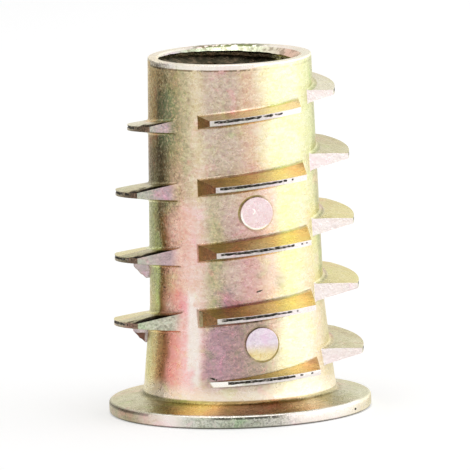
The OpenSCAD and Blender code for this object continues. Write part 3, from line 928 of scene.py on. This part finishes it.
def chromatedZinc():
    at, look = filmPlaces, filmLook
    mat, tree, shader = newMaterial("chromatedZinc")
    f = readSurfaces(tree)
    hue = paintFlange(f, paintFins(f, paintWall(f)))
    hue = paintBore(f, paintGrain(f, paintTip(f, hue)))
    # the specular tint is painted darker as shade on the -X fins' shaded edge and on the bevels towards the sides
    # and back
    backBevels = f.beveled * larger(below(f.turn, at["backTo"]), above(f.turn, at["backFrom"]))
    share, edgeShadeColour = filmStains["edgeShade"]
    tintShade = larger(f.edgeShade * share, backBevels * look["bevelShow"])
    shine = blendColours(tintShade, look["glancing"], edgeShadeColour)
    low, high = look["roughFrom"]
    spread = {"Value": patches(f.where, "rough"), "From Min": low, "From Max": high,
              "To Min": look["roughness"] - look["smoother"], "To Max": look["roughness"] + look["rougher"]}
    rough = addNode(tree, "ShaderNodeMapRange", spread).outputs["Result"]
    bumps = addBump(patches(f.where, "waves"), look["waveDeep"])
    bumps = addBump(f.streaks, look["streakDeep"], bumps)
    bumps = addBump(f.grain, look["grainDeep"], bumps)
    shader.inputs["Metallic"].default_value = 1.0
    for name, source in (("Base Color", hue), ("Specular Tint", shine), ("Roughness", rough), ("Normal", bumps)):
        tree.links.new(source, shader.inputs[name])
    return mat


# torn bare metal in the grooves and in the nicks, painted mostly dark as shade in these recesses
tornLook = dict(
    roughness=0.55, chatter=(7, 3, 0.6, 0), deep=0.02,
    hues=[(0.38, 0.04, 0.035, 0.03), (0.53, 0.09, 0.08, 0.06), (0.63, 0.38, 0.34, 0.30), (0.76, 0.8, 0.76, 0.72)],
)


def tornZincInShade():
    mat, tree, shader = newMaterial("tornZincInShade")
    chatter = Field(noiseOf(readPlace(tree)[0], *tornLook["chatter"])["Fac"])
    shader.inputs["Metallic"].default_value = 1.0
    shader.inputs["Roughness"].default_value = tornLook["roughness"]
    tree.links.new(rampOf(chatter, tornLook["hues"]), shader.inputs["Base Color"])
    tree.links.new(addBump(chatter, tornLook["deep"]), shader.inputs["Normal"])
    return mat


def giveFinishes(piece):
    for mat in finishes:
        piece.data.materials.append(mat)


finishes = [chromatedZinc(), tornZincInShade()]
print("finishes made")

insert = turnBody()
combine(insert, gather("fins", [makeFin(n) for n in range(finCount())]), "UNION")
for n in burrShape["fins"]:
    combine(insert, gather("burr", [makeBurr(n)]), "UNION")
combine(insert, gather("marks", [makeMark(place, outward=False) for place in markPlaces()]), "UNION")
combine(insert, gather("marks", [makeMark(place, outward=True) for place in markPlaces()]), "DIFFERENCE")
insert.data.materials.clear()
giveFinishes(insert)
print("casting joined")

grooves = gather("grooves", [makeGroove(n) for n in range(finCount())], torn=True)
nicks = [gather("nick", [makeNick(**place)], torn=True) for place in nickShape["places"]]
for cutter in [grooves] + nicks:
    giveFinishes(cutter)
    combine(insert, cutter, "DIFFERENCE")
for makeCutter in (makeReamer, makeTap, makeKey):
    combine(insert, makeCutter(), "DIFFERENCE")
print("bore, thread and socket cut")

bm = bmesh.new()
bm.from_mesh(insert.data)
bmesh.ops.remove_doubles(bm, verts=bm.verts, dist=castGap)
bmesh.ops.dissolve_degenerate(bm, edges=bm.edges, dist=castGap)
bmesh.ops.scale(bm, vec=(toMetres,) * 3, verts=bm.verts)
bm.to_mesh(insert.data)
bm.free()
sharpAngle, flatWeight = 24, 80  # degrees, and how much the larger faces count
insert.data.shade_smooth()
insert.data.set_sharp_from_angle(angle=radians(sharpAngle))
even = insert.modifiers.new("evenNormals", "WEIGHTED_NORMAL")
even.keep_sharp, even.weight = True, flatWeight
print("insert modelled")

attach(insert, "root")
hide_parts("insert")


def placeAround(middle, azimuth, elevation, distance, front):
    # azimuth is from -Y towards +X, and the front looks back at the middle
    a, e = radians(azimuth), radians(elevation)
    away = Vector((sin(a) * cos(e), -cos(a) * cos(e), sin(e)))
    spot = Matrix.Translation(Vector(middle) + away * distance)
    return spot @ (-away).to_track_quat(front, "Y").to_matrix().to_4x4()


def seenDirectly(tree):
    # the background that the camera, metal and glass see, and the light on the object doesn't
    ray = addNode(tree, "ShaderNodeLightPath").outputs
    straight = Field(ray["Is Camera Ray"]) + Field(ray["Is Glossy Ray"])
    return calc("ADD", straight, ray["Is Transmission Ray"], clamp=True)


studioMiddle = (0, 0, 0.01)

floorLook = dict(size=2, colour=(0.88, 0.88, 0.88), roughness=0.9, gloss=0.1, glow=0.42)


def makeFloor():
    look = floorLook
    bm = bmesh.new()
    bmesh.ops.create_grid(bm, x_segments=1, y_segments=1, size=look["size"])
    floor = asPiece(bm, "floor")
    mat, tree, shader = newMaterial("floorPaper")
    shader.inputs["Base Color"].default_value = (*look["colour"], 1)
    shader.inputs["Roughness"].default_value = look["roughness"]
    shader.inputs["Specular IOR Level"].default_value = look["gloss"]
    shader.inputs["Emission Color"].default_value = (1, 1, 1, 1)
    tree.links.new(socketOf(seenDirectly(tree) * look["glow"]), shader.inputs["Emission Strength"])
    floor.data.materials.append(mat)


studioLight = dict(ambient=0.45, background=1.0)


def makeWorld():
    world = bpy.data.worlds.new("studio")
    bpy.context.scene.world = world
    world.use_nodes = True
    tree = world.node_tree
    tree.nodes.clear()
    lit, back = (
        addNode(tree, "ShaderNodeBackground", {"Color": (1, 1, 1), "Strength": studioLight[name]}).outputs[0]
        for name in ("ambient", "background")
    )
    mixed = addNode(tree, "ShaderNodeMixShader", {0: seenDirectly(tree), 1: lit, 2: back}).outputs[0]
    addNode(tree, "ShaderNodeOutputWorld", {"Surface": mixed})


softboxes = [
    dict(name="keySoftbox", azimuth=58, elevation=14, distance=0.16, size=(0.2, 0.12), power=0.058),
    dict(name="sideSoftbox", azimuth=118, elevation=14, distance=0.16, size=(0.2, 0.12), power=0.035),
    dict(name="topSoftbox", azimuth=-20, elevation=80, distance=0.7, size=(0.5, 0.5), power=1.0),
]


def makeLamp(name, azimuth, elevation, distance, size, power):
    lamp = bpy.data.lights.new(name, "AREA")
    lamp.shape, lamp.size, lamp.size_y, lamp.energy = "RECTANGLE", size[0], size[1], power
    addObject(name, lamp).matrix_world = placeAround(studioMiddle, azimuth, elevation, distance, "-Z")


# cards that the plated metal reflects, and the camera doesn't see
cards = [
    dict(name="darkCard", azimuth=-124, elevation=6, distance=0.035, size=(0.015, 0.028), grey=0.12),
    dict(name="greyCard", azimuth=-152, elevation=6, distance=0.036, size=(0.022, 0.028), grey=0.5),
]


def makeCard(name, azimuth, elevation, distance, size, grey):
    bm = bmesh.new()
    bmesh.ops.create_grid(bm, x_segments=1, y_segments=1, size=0.5)
    bmesh.ops.scale(bm, vec=(*size, 1), verts=bm.verts)
    lay = placeAround(studioMiddle, azimuth, elevation, distance, "Z")
    bmesh.ops.transform(bm, matrix=lay, verts=bm.verts)
    card = asPiece(bm, name)
    mat, tree, shader = newMaterial(name)
    tree.nodes.clear()
    glow = addNode(tree, "ShaderNodeEmission", {"Color": (grey, grey, grey), "Strength": 1.0}).outputs[0]
    addNode(tree, "ShaderNodeOutputMaterial", {"Surface": glow})
    card.data.materials.append(mat)
    card.visible_camera = card.visible_diffuse = card.visible_shadow = False


viewFrom = dict(
    azimuth=-15, elevation=8.475, distance=0.6696, roll=-1.822, aim=(0, 0, 0.0098),
    lens=917.3, sensor=36, clip=(0.01, 10),
)


def makeCamera(azimuth, elevation, distance, roll, aim, lens, sensor, clip):
    cam = bpy.data.cameras.new("camera")
    cam.lens, cam.sensor_width = lens, sensor
    cam.clip_start, cam.clip_end = clip
    holder = addObject("camera", cam)
    holder.matrix_world = placeAround(aim, azimuth, elevation, distance, "-Z") @ turnedBy(roll, 4)
    bpy.context.scene.camera = holder


makeFloor()
makeWorld()
for softbox in softboxes:
    makeLamp(**softbox)
for card in cards:
    makeCard(**card)
makeCamera(**viewFrom)
bpy.context.scene.view_settings.view_transform = "Standard"
print("studio set")
